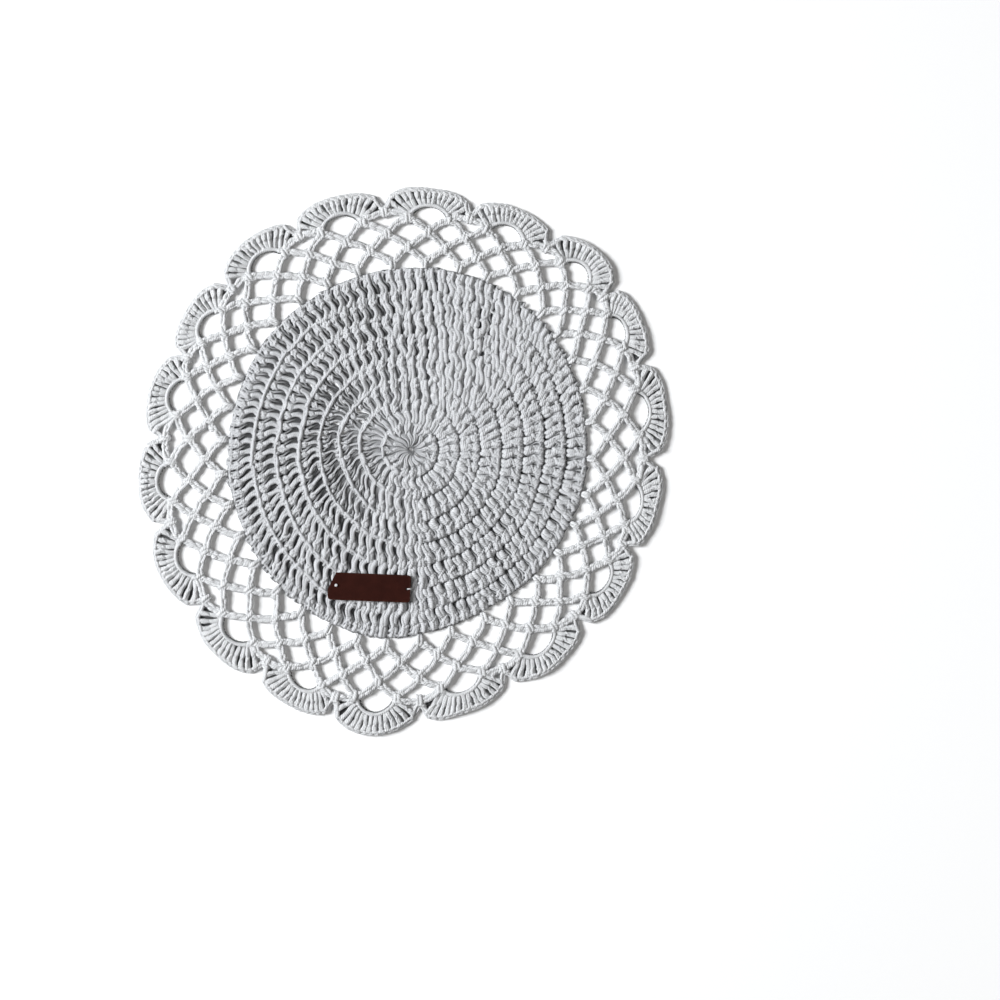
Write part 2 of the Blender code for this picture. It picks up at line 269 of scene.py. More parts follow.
def besideYarn(pull):
    # at each stop a direction across the yarn, which turns no more than the yarn does
    side = np.cross(pull[:, 0], (0.3, 0.2, 1.0))  # no yarn starts this way
    beside = np.empty_like(pull)
    for stop in range(pull.shape[1]):
        side = side - pull[:, stop] * (side * pull[:, stop]).sum(1, keepdims=True)
        side = side / np.linalg.norm(side, axis=1, keepdims=True)
        beside[:, stop] = side
    return beside


def mapCells(numbers, stops, columns):
    # each yarn has a cell of the map, with a strip for its wall and a round for each end
    sides, gap, capShare = yarnShape["sides"], yarnShape["cellGap"], yarnShape["capShare"]
    cellX, cellY = numbers % columns, numbers // columns
    along = gap + capShare + np.arange(stops) / (stops - 1) * (1 - 2 * gap - 2 * capShare)
    around = gap + np.arange(sides + 1) / sides * (1 - 2 * gap)
    grid = np.empty((len(numbers), stops, sides + 1, 2))
    grid[..., 0] = cellX[:, None, None] + along[:, None]
    grid[..., 1] = cellY[:, None, None] + around
    wallMap = np.stack((grid[:, :-1, :-1], grid[:, :-1, 1:], grid[:, 1:, 1:], grid[:, 1:, :-1]), 3)
    capMap = np.empty((len(numbers), 2, sides, 2))
    size, middle = capShare * yarnShape["capRadius"], capShare * yarnShape["capMiddle"]
    middles = np.array(((gap + middle,), (1 - gap - middle,)))
    capMap[..., 0] = cellX[:, None, None] + middles + size * np.stack((ringCos[::-1], ringCos))
    capMap[..., 1] = cellY[:, None, None] + 0.5 + size * np.stack((ringSin[::-1], ringSin))
    return np.concatenate((wallMap.reshape(-1, 2), capMap.reshape(-1, 2)))


def paintedShadeOf(spots, ring, flatness):
    # painted shade: how dark each point is painted for lying deep between the others, low and not on a
    # yarn's underside
    depth = 1 - smoothStep(spots[:, 2], *yarnShape["paintedShadeRange"])
    reach = np.hypot(spots[:, 0], spots[:, 1])
    least = yarnShape["paintedShadeLeast"]
    depth = depth * (least + (1 - least) * smoothStep(reach, *yarnShape["paintedShadeFade"]))
    return depth * smoothStep(ring[..., 2].reshape(-1) / flatness, *yarnShape["paintedShadeSides"])


def yarnMesh(name, yarns, lay, paintedShadeStrength, lumpy):
    # closed tubes round all paths of one piece, in one mesh
    sides = yarnShape["sides"]
    yarnCount = sum(len(path) for path, _, _ in yarns)
    columns = math.ceil(math.sqrt(yarnCount))
    rows = math.ceil(yarnCount / columns)
    spots, faceSizes, faceCorners, mapSpots, twists, tones, paintedShades = [], [], [], [], [], [], []
    firstSpot = laid = 0
    for path, radius, flatness in yarns:
        count, stops, _ = path.shape
        path = lay(path)
        lumps = handWork.normal(0, lumpy * yarnShape["lumps"], (count, stops + 2))
        radius = radius * (1 + lumps[:, :-2] / 2 + lumps[:, 1:-1] + lumps[:, 2:] / 2)
        path[..., 2] -= np.minimum(path[..., 2] - radius * flatness, 0)  # nothing reaches below the table
        pull = np.gradient(path, axis=1)
        pull /= np.linalg.norm(pull, axis=2, keepdims=True)
        beside = besideYarn(pull)
        above = np.cross(pull, beside) * flatness
        ring = ringCos[:, None] * beside[:, :, None] + ringSin[:, None] * above[:, :, None]
        tube = (path[:, :, None] + ring * radius[:, :, None, None]).reshape(-1, 3)
        low = np.minimum(tube[:, 2] / yarnShape["pressed"], 1)  # where the table presses it
        tube[:, 2] += yarnShape["pressed"] * (np.exp(low - 1) - low)
        spots.append(tube)
        # painted shade: darker yarn low down between the others
        paintedShades.append(paintedShadeStrength * paintedShadeOf(tube, ring, flatness))

        steps = np.linalg.norm(np.diff(path, axis=1), axis=2)
        length = np.concatenate((np.zeros((count, 1)), np.cumsum(steps, 1)), 1)
        length = length + handWork.uniform(0, 1, (count, 1))
        twist = np.empty((count, stops, sides, 3))
        twist[..., 0], twist[..., 1], twist[..., 2] = ringCos, ringSin, length[:, :, None]
        twists.append(twist.reshape(-1, 3))
        tones.append(np.repeat(handWork.uniform(0, 1, count), stops * sides))

        at = firstSpot + np.arange(count * stops * sides).reshape(count, stops, sides)
        beyond = np.roll(at, -1, axis=2)
        walls = np.stack((at[:, :-1], beyond[:, :-1], beyond[:, 1:], at[:, 1:]), -1)
        caps = np.stack((at[:, 0, ::-1], at[:, -1]), 1)
        faceCorners.append(np.concatenate((walls.reshape(-1), caps.reshape(-1))))
        faceSizes.append(np.repeat((4, sides), (walls.size // 4, caps.size // sides)))
        mapSpots.append(mapCells(laid + np.arange(count), stops, columns) / (columns, rows))
        firstSpot += at.size
        laid += count

    spots = np.concatenate(spots)
    faceCorners = np.concatenate(faceCorners)
    faceSizes = np.concatenate(faceSizes)
    starts = np.concatenate(([0], np.cumsum(faceSizes)[:-1]))
    mesh = bpy.data.meshes.new(name)
    mesh.vertices.add(len(spots))
    mesh.vertices.foreach_set("co", spots.astype(np.float32).ravel())
    mesh.loops.add(len(faceCorners))
    mesh.loops.foreach_set("vertex_index", faceCorners.astype(np.int32))
    mesh.polygons.add(len(faceSizes))
    mesh.polygons.foreach_set("loop_start", starts.astype(np.int32))
    mesh.polygons.foreach_set("use_smooth", np.ones(len(faceSizes), bool))
    mesh.update(calc_edges=True)
    bakeMap = mesh.uv_layers.new(name=bakeMapName)
    bakeMap.uv.foreach_set("vector", np.concatenate(mapSpots).astype(np.float32).ravel())
    pointData = [
        ("twist", "FLOAT_VECTOR", "vector", twists),
        ("tone", "FLOAT", "value", tones),
        ("paintedShade", "FLOAT", "value", paintedShades),
    ]
    for dataName, kind, field, values in pointData:
        made = mesh.attributes.new(dataName, kind, "POINT")
        made.data.foreach_set(field, np.concatenate(values).astype(np.float32).ravel())
    mesh.validate()
    return mesh


def addPiece(name, yarns, material, node="doily", lay=layByHand, paintedShadeStrength=1.0, lumpy=1.0):
    # the share before lumpy sets how much painted shade the piece gets deep down; lumpy is how uneven its
    # yarn is
    mesh = yarnMesh(name, yarns, lay, paintedShadeStrength, lumpy)
    mesh.materials.append(material)
    piece = bpy.data.objects.new(name, mesh)
    bpy.context.scene.collection.objects.link(piece)
    if node:
        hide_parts(node)
    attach(piece, "root")
    triangles = sum(len(face.vertices) - 2 for face in mesh.polygons)
    print(name, len(mesh.polygons), "faces,", triangles, "triangles")
    return piece


# Materials, with scales in lumps a metre and depths in metres

cottonLook = {
    "colour": (0.66, 0.668, 0.685),
    "shade": (0.50, 0.507, 0.523),  # painted shade between the plies, and the duller tone of some lengths of yarn
    "paintedShadeDark": 0.88,  # painted shade: how much darker the yarn is painted deep between the others
    "plies": 3,
    "plyPitch": 0.0042,
    "plyDepth": 0.00036,
    "plyRoundness": 0.6,
    "plyLight": (0.35, 1.0),  # share of the colour over the shade, between plies and on top of them
    "toneRange": (0.2, 1.8),
    "toneLight": (0.6, 1.0),  # the same in the dullest and the lightest lengths of yarn
    "cloudScale": 60,
    "slubScale": 430,  # soft lumps of the loosely spun yarn
    "slubDepth": 0.00045,
    "slubRange": (0.35, 0.65),
    "slubLight": (0.55, 1.0),
    "fibreScale": 2600,
    "fibreDepth": 0.00010,
    "fibreRange": (0.3, 0.7),
    "roughness": (0.82, 0.97),
    "sheen": 0.12,
    "sheenRoughness": 0.5,
    "specular": 0.2,
}


def feed(node, inputs):
    # gives inputs of a node a value, a colour or another node's output
    for socket, value in inputs.items():
        if isinstance(value, bpy.types.NodeSocket):
            node.id_data.links.new(value, node.inputs[socket])
        elif node.inputs[socket].type == "RGBA":
            node.inputs[socket].default_value = (*value, 1)
        else:
            node.inputs[socket].default_value = value


def nodeMaker(material):
    # short ways to add nodes: add takes any kind, calc works out a number, spread maps one range onto
    # another, mix blends two colours
    material.use_nodes = True
    nodes = material.node_tree.nodes

    def add(kind, inputs=None, **settings):
        node = nodes.new(kind)
        for name, value in settings.items():
            setattr(node, name, value)
        feed(node, inputs or {})
        return node.outputs

    def calc(operation, *values):
        return add("ShaderNodeMath", dict(enumerate(values)), operation=operation)[0]

    def spread(value, fromRange, toRange=(0.0, 1.0)):
        return add("ShaderNodeMapRange", dict(enumerate((value, *fromRange, *toRange))))[0]

    def mix(share, low, high):
        return add("ShaderNodeMix", {0: share, 6: low, 7: high}, data_type="RGBA")[2]

    def noise(spot, scale, octaves=2.0, **more):
        return add("ShaderNodeTexNoise", {"Vector": spot, "Scale": scale, "Detail": octaves, **more})[0]

    def bump(height, depth, **more):
        return add("ShaderNodeBump", {"Height": height, "Distance": depth, **more})[0]

    shader = nodes["Principled BSDF"]
    return SimpleNamespace(shader=shader, add=add, calc=calc, spread=spread, mix=mix, noise=noise, bump=bump)


def cottonYarn(name, look):
    # soft twisted cotton: plies from the yarn's own twist, fine fibres, a tone for each length of yarn
    material = bpy.data.materials.new(name)
    make = nodeMaker(material)
    parts = make.add("ShaderNodeSeparateXYZ", {
        0: make.add("ShaderNodeAttribute", attribute_name="twist")["Vector"],
    })
    around = make.calc("ARCTAN2", parts["Y"], parts["X"])
    windings = make.calc("MULTIPLY", parts["Z"], 2 * math.pi * look["plies"] / look["plyPitch"])
    phase = make.calc("ADD", make.calc("MULTIPLY", around, look["plies"]), windings)
    ply = make.calc("SINE", make.calc("MULTIPLY", phase, 0.5))
    ply = make.calc("POWER", make.calc("ABSOLUTE", ply), look["plyRoundness"])
    spot = make.add("ShaderNodeTexCoord")["Object"]
    fibres = make.noise(spot, look["fibreScale"], octaves=3.0, Roughness=0.65)
    cloud = make.noise(spot, look["cloudScale"])
    slub = make.noise(spot, look["slubScale"])

    tone = make.add("ShaderNodeAttribute", attribute_name="tone")["Fac"]
    # painted shade: the colour goes to the shade colour in the grooves between the plies
    grain = make.spread(ply, (0.0, 1.0), look["plyLight"])
    lightness = make.spread(make.calc("ADD", tone, cloud), look["toneRange"], look["toneLight"])
    # the colour is also darker where the slub bump dips
    mottle = make.spread(slub, look["slubRange"], look["slubLight"])
    colourShare = make.calc("MULTIPLY", make.calc("MULTIPLY", grain, lightness), mottle)
    colour = make.mix(colourShare, look["shade"], look["colour"])
    # painted shade: the colour is scaled down where the yarn lies low between the others
    paintedShade = make.add("ShaderNodeAttribute", attribute_name="paintedShade")["Fac"]
    paintedShadeKeep = make.calc("MULTIPLY_ADD", paintedShade, -look["paintedShadeDark"], 1.0)
    slubBump = make.bump(slub, look["slubDepth"])
    plyBump = make.bump(ply, look["plyDepth"], Normal=slubBump)
    feed(make.shader, {
        "Base Color": make.add("ShaderNodeVectorMath", {0: colour, 3: paintedShadeKeep}, operation="SCALE")[0],
        "Roughness": make.spread(fibres, look["fibreRange"], look["roughness"]),
        "Normal": make.bump(fibres, look["fibreDepth"], Normal=plyBump),
        "Sheen Weight": look["sheen"],
        "Sheen Roughness": look["sheenRoughness"],
        "Specular IOR Level": look["specular"],
    })
    return material


cotton = cottonYarn("offWhiteCottonYarn", cottonLook)
# The same cotton in the net and fans, where it lies loose; its colours are painted lighter, painted light
# that makes them look brighter than the disc
paintedLightCotton = cottonYarn("paintedLightCottonYarn", {
    **cottonLook, "colour": (0.76, 0.767, 0.775), "shade": (0.57, 0.577, 0.59),
})
print("cotton mixed")

# Stitches: each yarn is a list of corners (across, along, up) in mm, its steps and its thickness in mm.
# A stitch has its length and the height that it rolls about, in mm.

lowerLoop = [
    (-0.9, -1.4, 0.5), (-1.0, 0.7, 0.7), (-0.85, 3.0, 1.5), (-0.85, 6.0, 1.9), (-0.7, 8.2, 2.0),
    (-0.1, 8.9, 2.0), (0.5, 8.0, 1.9), (0.75, 5.8, 1.8), (0.8, 2.8, 1.4), (0.95, 0.7, 0.7),
    (0.85, -1.4, 0.5),
]
upperLoop = [
    (-0.6, 15.4, 1.8), (-0.75, 13.6, 2.1), (-0.8, 11.6, 2.2), (-0.7, 9.4, 1.8), (-0.4, 7.4, 1.2),
    (0.4, 7.4, 1.2), (0.8, 9.4, 1.8), (0.85, 11.6, 2.2), (0.85, 13.6, 2.1), (0.6, 15.4, 1.8),
]
wrapYarn = [
    (2.2, 11.9, 1.2), (1.7, 11.4, 2.2), (0.5, 10.3, 2.8), (-0.9, 9.0, 2.8), (-2.0, 7.9, 1.9),
    (-2.2, 7.4, 1.1),
]
# Along a post: the stops, how wide it is there where posts are full and where they are open, and then
# how thick its yarn is in the same two cases
postWaist = (
    (0.0, 0.09, 0.17, 0.40, 0.62, 0.72, 0.80, 0.87, 1.0),
    (1.15, 1.4, 1.5, 1.35, 1.0, 0.90, 1.0, 1.1, 1.1),
    (1.3, 1.10, 0.74, 0.46, 0.70, 1.45, 0.90, 0.42, 1.0),
    (0.70, 0.95, 1.05, 1.0, 0.88, 0.84, 0.90, 0.92, 0.85),
    (0.72, 0.72, 0.68, 0.60, 0.70, 0.92, 0.74, 0.54, 0.66),
)
postSize = {"length": 14.6, "middle": 1.8, "waist": postWaist}
tallStitch = {**postSize, "yarns": [(lowerLoop, 17, 4.2), (upperLoop, 15, 4.1)]}
wrapStitch = {**postSize, "yarns": [(wrapYarn, 7, 2.6)]}
# Beside each post, low in the slit to the next, a flat back strand and two crossing bars; lying low, they
# take the full painted shade, so the slits between posts look dark
backYarn = [(3.0, -1.0, 0.45), (2.6, 3.0, 0.4), (3.0, 7.0, 0.45), (2.6, 11.0, 0.4), (2.9, 15.4, 0.5)]
backStitch = {"length": 14.6, "middle": 0.45, "flatness": 0.2, "yarns": [(backYarn, 6, 4.4)]}
barYarn = [(4.4, -0.8, 1.1), (4.0, 2.6, 1.3), (3.0, 6.4, 1.4), (2.2, 10.4, 1.3), (2.2, 14.6, 1.1)]
underBar = [(2.2, -0.8, 0.9), (2.6, 3.0, 1.0), (3.4, 6.8, 1.0), (4.2, 10.4, 1.2), (4.4, 14.6, 0.9)]
barStitch = {
    "length": 14.6, "middle": 1.2, "flatness": 0.8,
    "yarns": [(barYarn, 6, 1.5), (underBar, 6, 1.4)],
}
topStitch = {
    "length": 7.3,
    "middle": 2.0,
    "yarns": [([
        (0.5, -0.9, 1.5), (-0.2, 1.0, 2.6), (-0.5, 3.4, 3.15), (-0.45, 5.9, 3.1), (-0.1, 7.9, 2.7),
        (0.3, 8.7, 2.1), (0.6, 7.8, 1.7), (0.7, 5.6, 1.5), (0.7, 3.0, 1.5), (0.5, 0.8, 1.5),
    ], 13, 2.3)],
}

# Disc: lengths in metres, and a range goes from where something starts to where it is at its full
discLook = {
    "stitches": (16, 30, 42, 54, 66, 78, 92, 108),  # posts in each round
    "postWidth": 0.0056,  # of a post that nothing squeezes
    "yarnRoom": 0.0048,  # at a foot with less room than this the yarn is thinner
    "thinnestYarn": 0.27,
    "footApart": 0.22,  # two posts worked into one stitch stand this far to each side, in stitches
    "footShare": 0.7,  # how far a foot goes towards the stitch that it is worked into
    "placeWobble": 0.035,  # unevenness of a post's place, in stitches
    "crowdWobble": 0.04,  # of its width
    "yarnWobble": 0.02,  # and of its yarn's thickness
    "roll": 0.2,
    "lift": 0.00012,
    "fullTowards": (1.0, -0.04),  # the posts are full on this side of the disc and lie open on the other
    "fullRange": (-0.065, 0.035),
    "openMore": 0.35,  # in the inner rounds they lie open more, by this share
    "openMoreRange": (0.085, 0.050),
    "closeMiddle": 0.15,  # and near the middle they are fuller still
    "closeRange": (0.044, 0.020),
    "firstOpen": 0.12,  # but the first round's posts run apart, like spokes
    "firstFoot": 0.15,
    "firstHead": 0.9,
    "sway": (0.80, 0.42),  # how far the posts wave sideways, and how unevenly, mm
    "slip": 0.0005,  # how far the wraps and back strands lie from their post
    "drawnFrom": (0.020, 0.030),  # left of the middle the posts are drawn thin, between these reaches
    "drawnTo": (0.060, 0.095),
    "drawnSide": (0.45, 0.85),
    "tangle": 0.0010,  # the thin drawn strands cross each other by about this much
    "leanRange": (0.020, 0.050),
    "twist": 0.7,
    "grooveTowards": (0.961, -0.276),  # to this side of the disc a groove shows round each ridge
    "grooveRange": (0.28, 0.66),
    "footLift": 0.0009,  # the feet of the posts lie lower there
    "groove": 0.74,  # and are thinner, which leaves the groove
    "ridgeSink": 0.0013,  # the ridges stand up on the left, less on the right, and lie flat between
    "ridgeSinkRight": 0.0010,
    "ridgeStand": (0.3, 0.8),
    "ridgeYarn": (0.9, 0.09),  # how thick their yarn is, and how unevenly
    "ridgeSoftRight": 0.22,  # and are that much fuller on the right
    "ridgeBackRight": 0.0009,  # and lie this much nearer the middle
    "edgeSink": 0.0011,  # the last one, at the disc's edge, lies low all round
    "edgeGroove": 0.2,  # and has little of the groove
    "ridgeWobble": 0.04,  # unevenness of a link's place, in stitches
    "ridgeReachWobble": 0.0003,
    "ridgeRoll": 0.25,
    "ridgeLift": 0.0001,
}


def roundSeats(number, crest, count, before, shift):
    # where the posts of one round stand, on the stitches of the round before, and how they are squeezed
    footReach = crest - plan["roundHeight"] if number else plan["eye"]
    perStitch = plan["fans"] / count
    middles = np.arange(count) + 0.5
    headTurn = (middles + shift) * perStitch
    parent = np.floor(middles * before / count)
    shared = np.bincount(parent.astype(int), minlength=before)[parent.astype(int)] > 1
    first = np.concatenate(([True], parent[1:] != parent[:-1]))
    apart = np.where(shared, np.where(first, -discLook["footApart"], discLook["footApart"]), 0.0)
    footTurn = (parent + 0.5 + apart) * plan["fans"] / before + shift * perStitch
    footTurn = headTurn + (discLook["footShare"] if number else 0.0) * (footTurn - headTurn)
    leans = np.tan(np.radians(betweenFans(headTurn, leanColumn)))
    leans = leans * smoothStep(crest, *discLook["leanRange"])
    footTurn = footTurn + leans * plan["roundHeight"] / footReach * plan["fans"] / (2 * math.pi)
    wobble = handWork.normal(0, discLook["placeWobble"], (2, count)) * perStitch
    foot = place(footReach, footTurn + wobble[0])
    head = place(crest, headTurn + wobble[1])

    footRoom, headRoom = 2 * math.pi * np.array((footReach, crest)) / count
    grooved = smoothStep(head @ discLook["grooveTowards"] / crest, *discLook["grooveRange"])
    crowdWobble = handWork.normal(1.0, discLook["crowdWobble"], count)
    headYarn = handWork.normal(1.0, discLook["yarnWobble"], count)
    footYarn = np.clip(footRoom / discLook["yarnRoom"], discLook["thinnestYarn"], 1.0)
    openness = 1 - smoothStep(head @ discLook["fullTowards"], *discLook["fullRange"])
    close = smoothStep(crest, *discLook["closeRange"])
    openness = openness * (1 - close) - discLook["closeMiddle"] * close
    openness = openness * (1 + discLook["openMore"] * smoothStep(crest, *discLook["openMoreRange"]))
    if number == 0:
        openness, footYarn = discLook["firstOpen"], discLook["firstFoot"]
        headYarn = headYarn * discLook["firstHead"]
    drawn = smoothStep(crest, *discLook["drawnFrom"]) * (1 - smoothStep(crest, *discLook["drawnTo"]))
    drawn = drawn * smoothStep(-head[:, 0] / crest, *discLook["drawnSide"])
    tangle = discLook["tangle"] * drawn[:, None]
    foot = foot + tangle * handWork.normal(0, 1, foot.shape)
    head = head + tangle * handWork.normal(0, 1, head.shape)
    return foot, head, {
        "footCrowd": footRoom / discLook["postWidth"],
        "headCrowd": headRoom / discLook["postWidth"] * crowdWobble,
        "footYarn": footYarn,
        "headYarn": headYarn,
        "openness": openness,
        "drawn": drawn,
        "footLift": discLook["footLift"] * (1 - grooved),
        "groove": discLook["groove"] * grooved * min(number, 1),
        "twist": discLook["twist"],
    }


def layRidge(crest, count, shift, last):
    # the chain that closes one round, link by link over the posts' heads
    perStitch = plan["fans"] / count
    closed = np.r_[0:count, 0]  # the last link ends where the first starts
    edges = (np.arange(count + 1) + shift) * perStitch
    edges = edges + handWork.normal(0, discLook["ridgeWobble"], count)[closed] * perStitch
    nodes = place(crest + handWork.normal(0, discLook["ridgeReachWobble"], count)[closed], edges)
    grooved = smoothStep(nodes @ discLook["grooveTowards"] / crest, *discLook["grooveRange"])
    grooved = grooved * (discLook["edgeGroove"] if last else 1)
    nodes = nodes * (1 - discLook["ridgeBackRight"] / crest * grooved)[:, None]
    grooved = grooved[1:]
    flat = (1 - smoothStep(np.abs(nodes[1:, 0]) / crest, *discLook["ridgeStand"])) * (1 - grooved)
    sink = discLook["ridgeSink"] * flat + discLook["ridgeSinkRight"] * grooved
    if last:
        sink = discLook["edgeSink"]
    yarns = handWork.normal(*discLook["ridgeYarn"], (2, count)) + discLook["ridgeSoftRight"] * grooved
    roll = handWork.normal(0, discLook["ridgeRoll"], count)
    lift = handWork.normal(0, discLook["ridgeLift"], count) - sink
    return layStitch(topStitch, seatsFor(
        nodes[1:], nodes[:-1], roll=roll, lift=lift, headYarn=yarns[0], footYarn=yarns[1],
    ))


def layDisc():
    # round by round from the middle outward
    posts, wraps, backs, ridges = [], [], [], []
    before = 1
    for number, count in enumerate(discLook["stitches"]):
        crest = plan["firstRound"] + number * plan["roundHeight"]
        shift = handWork.uniform(0, 1)
        foot, head, squeeze = roundSeats(number, crest, count, before, shift)
        roll = handWork.normal(0, discLook["roll"], count)
        squeeze["lift"] = handWork.normal(0, discLook["lift"], count)
        squeeze["sway"] = handWork.normal(*discLook["sway"], count)
        slip = handWork.normal(0, discLook["slip"], (count, 2))
        posts += layStitch(tallStitch, seatsFor(foot, head, roll=roll, **squeeze))
        wraps += layStitch(wrapStitch, seatsFor(foot + slip, head + slip, roll=roll, **squeeze))
        squeeze["drawn"] = 0.0
        for stitch in (backStitch, barStitch):
            backs += layStitch(stitch, seatsFor(foot + slip, head - slip, **squeeze))
        ridges += layRidge(crest, count, shift, count == discLook["stitches"][-1])
        before = count
    return posts, wraps, backs, ridges


discRounds, discWraps, discBacks, discRidges = layDisc()
print("disc laid:", len(discLook["stitches"]), "rounds,", sum(discLook["stitches"]), "posts")
rounds = addPiece("discRounds", discRounds, cotton, lumpy=1.2)
wraps = addPiece("discWraps", discWraps, cotton, lumpy=1.2)
backs = addPiece("discBacks", discBacks, cotton)
ridges = addPiece("discRidges", discRidges, cotton, lumpy=1.5)

# Net: loops of chain stitches from knot to knot

chainStitch = {
    "length": 5.2,
    "middle": 1.5,
    "yarns": [([
        (-0.25, -1.3, 1.0), (-0.5, -0.1, 1.6), (-1.0, 1.6, 1.95), (-1.15, 3.4, 1.9), (-0.9, 5.3, 1.5),
        (0.0, 6.1, 1.2), (0.9, 5.3, 1.5), (1.15, 3.4, 1.9), (1.0, 1.6, 1.95), (0.5, -0.1, 1.6),
        (0.25, -1.3, 1.0),
    ], 13, 3.1)],
}
shortLeg = [(-0.5, -1.4, 1.0), (-0.95, -0.6, 2.0), (-1.1, 1.2, 2.7), (-1.1, 3.2, 2.5), (-0.6, 4.8, 1.8)]
knotBar = [
    (3.1, 4.3, 1.3), (1.4, 3.9, 2.1), (-0.6, 3.9, 2.5), (-2.4, 4.3, 2.1), (-3.2, 5.0, 1.6), (-1.8, 5.6, 1.3),
    (0.4, 5.6, 1.2), (2.1, 5.1, 1.2),
]
shortStitch = {
    "length": 4.2,
    "middle": 1.7,
    "yarns": [(shortLeg, 8, 3.0), (mirrored(shortLeg), 8, 3.0), (knotBar, 11, 2.5)],
}
netLook = {
    "linksPerHalf": 3,  # chain stitches from a loop's foot to its crown
    "bulge": 0.0006,
    "endSide": 0.0015,  # where a loop starts, beside its knot and out from it
    "endOut": 0.0012,
    "crownIn": 0.0006,  # how far below the next knot its crown lies
    "wobble": 0.00036,
    "roll": 0.25,
    "coreSteps": 15,  # a plain yarn inside each chain
    "coreHeight": 0.0012,
    "coreRadius": 0.00085,
    "knotHalf": 0.0021,
    "knotWobble": 0.006,
    "knotRoll": 0.2,
}


def archNodes(reach, crown, turn):
    # the corners between the chain stitches of a round's loops, from foot over crown to foot
    perLoop = plan["fans"] / plan["loops"]
    side = netLook["endSide"] / reach * plan["fans"] / (2 * math.pi)
    share = np.arange(netLook["linksPerHalf"] + 1) / netLook["linksPerHalf"]
    footReach, crownReach = reach + netLook["endOut"], crown - netLook["crownIn"]
    reachUp = footReach + (crownReach - footReach) * share + netLook["bulge"] * np.sin(math.pi * share)
    footTurn, crownTurn, endTurn = turn + side, turn + 0.5 * perLoop, turn + perLoop - side
    turnUp = footTurn[:, None] + (crownTurn - footTurn)[:, None] * share
    turnDown = crownTurn[:, None] + (endTurn - crownTurn)[:, None] * share
    return np.concatenate((place(reachUp, turnUp), place(reachUp[::-1], turnDown)[:, 1:]), 1)


def layKnots(reach, turn):
    # a short stitch at every turn
    foot, head = place(reach - netLook["knotHalf"], turn), place(reach + netLook["knotHalf"], turn)
    roll = handWork.normal(0, netLook["knotRoll"], len(turn))
    return layStitch(shortStitch, seatsFor(foot, head, roll=roll))


def layNet():
    # the loops round by round outward, then the knots that tie each round to the one before
    links, cores, knots = [], [], []
    loops = np.arange(plan["loops"])
    perLoop = plan["fans"] / plan["loops"]
    turns = [(loops + 0.5 * (level % 2)) * perLoop for level in range(len(plan["knots"]))]
    crowns = (*plan["knots"][1:], plan["notchKnot"])
    for reach, crown, turn in zip(plan["knots"], crowns, turns):
        if crown == plan["notchKnot"]:
            turn = turn[::2]  # the last round has its loops only between two fans
        nodes = archNodes(reach, crown, turn)
        count, stops, _ = nodes.shape
        nodes = nodes + handWork.normal(0, netLook["wobble"], nodes.shape)
        roll = np.cumsum(handWork.normal(0, netLook["roll"], (count, stops - 1)), 1)
        roll = roll - roll.mean(1, keepdims=True)
        foot, head = nodes[:, :-1].reshape(-1, 2), nodes[:, 1:].reshape(-1, 2)
        links += layStitch(chainStitch, seatsFor(foot, head, roll=roll.ravel()))
        paths = np.stack([smoothPath(row, netLook["coreSteps"]) for row in nodes])
        cores.append(layFlat(paths, netLook["coreHeight"], netLook["coreRadius"]))
    for reach, turn in zip(plan["knots"], turns):
        knots += layKnots(reach, turn + handWork.normal(0, netLook["knotWobble"], len(loops)))
    knots += layKnots(plan["notchKnot"], loops[1::2] * perLoop)
    return links + cores, knots


netLoops, netKnots = layNet()
print("net laid:", len(plan["knots"]), "rounds of loops")
loopsPiece = addPiece("netLoops", netLoops, paintedLightCotton, paintedShadeStrength=0.6)
knotsPiece = addPiece("netKnots", netKnots, paintedLightCotton, paintedShadeStrength=0.6)

# Fans

rimStitch = {
    "length": 7.3,
    "middle": 1.9,
    "yarns": [([
        (0.3, -0.9, 1.3), (-0.4, 1.0, 2.0), (-0.75, 3.4, 2.3), (-0.7, 5.9, 2.3), (-0.2, 7.9, 2.1),
        (0.4, 8.7, 1.7), (0.8, 7.8, 1.3), (0.9, 5.6, 1.2), (0.85, 3.0, 1.2), (0.5, 0.8, 1.2),
    ], 13, 2.4)],
}
fanLook = {
    "posts": 14,  # in each fan
    "postYarns": {"footCrowd": 0.28, "headCrowd": 0.62, "footYarn": 0.44, "headYarn": 0.80},
    "backYarns": {"footCrowd": 0.36, "headCrowd": 0.76, "footYarn": 0.5},
    "edgeYarns": {"footYarn": 0.95, "headYarn": 0.95},
    "rimInset": 0.0028,  # the posts end this far from the outline, and the edge chain lies this far in
    "edgeInset": 0.0013,
    "placeWobble": 0.008,
    "roll": 0.18,
    "lift": 0.0001,
    "sway": (0.2, 0.3),
    "openness": (0.1, 0.12),
    "edgeRoll": 0.1,
    "archPoints": 24,  # the yarn round the arch
    "archPast": 1.05,  # goes a little past the outer posts
    "archOut": 0.0008,
    "archHeight": 0.0017,
    "archYarn": 0.0013,
}


def fanEdge(fan, across):
    bow = (1 - np.abs(across) ** plan["fanRoundness"]) ** (1 / plan["fanRoundness"])
    return place(plan["notch"] + (plan["fanTip"] - plan["notch"]) * bow, fan + across / 2)


def archSpot(fan, lean):
    reach = plan["archReach"] + plan["archHeight"] * np.cos(lean)
    return place(reach, fan, plan["archHalfWidth"] * np.sin(lean))


def inset(spots, towards, distance):
    way = towards - spots
    return spots + way / np.linalg.norm(way, axis=-1, keepdims=True) * distance


